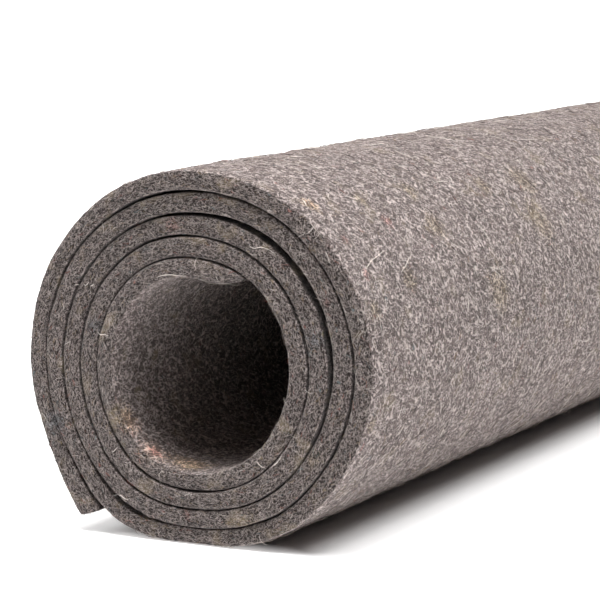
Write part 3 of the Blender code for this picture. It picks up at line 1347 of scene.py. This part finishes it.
def facing(location, target):
    """Turn a light or a camera at this place towards the target."""
    away = (Vector(location) - Vector(target)).normalized()
    rotation = away.to_track_quat("Z", "Y").to_matrix().to_4x4()
    return Matrix.Translation(location) @ rotation


def make_floor(stage):
    mesh = bpy.data.meshes.new("floor")
    sides = ((-1.0, -1.0), (1.0, -1.0), (1.0, 1.0), (-1.0, 1.0))
    corners = [(FLOOR_REACH * x, FLOOR_REACH * y, FLOOR_HEIGHT) for x, y in sides]
    mesh.from_pydata(corners, [], [(0, 1, 2, 3)])
    mesh.materials.append(floor_material(stage))
    add_object("floor", mesh)


def add_light(lamp, kind, target, **values):
    """Put a light at its place, facing its target."""
    light = bpy.data.lights.new(lamp.name, kind)
    for key, value in values.items():
        setattr(light, key, value)
    add_object(lamp.name, light).matrix_world = facing(lamp.place, target)


def make_lights(stage):
    softness = radians(stage.key_softness)
    for sun in SUNS:
        strength = stage.key_strength * sun.share
        add_light(sun, "SUN", (0.0, 0.0, 0.0), energy=strength, angle=softness)
    for fill in FILLS:
        power = stage.fill_power * fill.share
        add_light(fill, "AREA", FILL_TARGET, energy=power, shape="DISK", size=FILL_WIDTH)
    world = bpy.data.worlds.new("studio")
    world.use_nodes = True
    background = world.node_tree.nodes["Background"]
    background.inputs["Color"].default_value = WHITE
    background.inputs["Strength"].default_value = stage.sky
    bpy.context.scene.world = world


def camera_axes():
    """Give the camera's ways forward, to the right and down."""
    azimuth, elevation = radians(PHOTO_AZIMUTH), radians(PHOTO_ELEVATION)
    forward = Vector(
        (-sin(azimuth) * cos(elevation), cos(azimuth) * cos(elevation), -sin(elevation))
    )
    right = Vector((cos(azimuth), sin(azimuth), 0.0))
    return forward, right, forward.cross(right)


def pixel_direction(pixel):
    """Point from the camera through a pixel of the photograph, one unit forwards."""
    forward, right, down = camera_axes()
    middle = IMAGE_SIZE / 2.0
    sideways = (pixel[0] - middle) / FOCAL_PIXELS
    downwards = (pixel[1] - middle) / FOCAL_PIXELS
    return forward + right * sideways + down * downwards


def camera_place():
    """Stand where the near end's middle falls on its pixel of the photograph."""
    end_centre = Winding().axis + Vector((0.0, -HALF_LENGTH, 0.0))
    return end_centre - pixel_direction(END_CENTRE_PIXEL) * END_CENTRE_DISTANCE


def make_camera():
    data = bpy.data.cameras.new("camera")
    data.sensor_width = SENSOR_WIDTH
    data.lens = SENSOR_WIDTH * FOCAL_PIXELS / IMAGE_SIZE
    data.clip_end = 60.0
    camera = add_object("camera", data)
    place = camera_place()
    camera.matrix_world = facing(place, place + camera_axes()[0])
    bpy.context.scene.camera = camera


STEPS = (FELTROLL_OT_wind_sheet, FELTROLL_OT_lay_fibres, FELTROLL_OT_set_stage)
GROUPS = (FeltColours, SheetSizes, FibreSizes, StageSettings, FeltRollSettings)


def register():
    for group in GROUPS:
        bpy.utils.register_class(group)
    bpy.types.Scene.felt_roll = PointerProperty(type=FeltRollSettings)
    for step in STEPS:
        bpy.utils.register_class(step)
    bpy.utils.register_class(FELTROLL_PT_panel)


def unregister():
    bpy.utils.unregister_class(FELTROLL_PT_panel)
    for step in reversed(STEPS):
        bpy.utils.unregister_class(step)
    del bpy.types.Scene.felt_roll
    for group in reversed(GROUPS):
        bpy.utils.unregister_class(group)


def declare_pieces():
    """Hang each piece on the body it rides on, and hide the roll from the model."""
    sheet = bpy.data.objects["felt_sheet"]
    layers = [bpy.data.objects[layer.name] for layer in FIBRE_LAYERS]
    layers.append(bpy.data.objects["stray_hairs"])
    for piece in [sheet] + layers:
        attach(piece, "root")
    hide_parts("felt_roll")
    Winding().sheet_length


def main():
    register()
    bpy.ops.felt_roll.wind_sheet()
    bpy.ops.felt_roll.lay_fibres()
    bpy.ops.felt_roll.set_stage()
    declare_pieces()


if __name__ == "__main__":
    main()
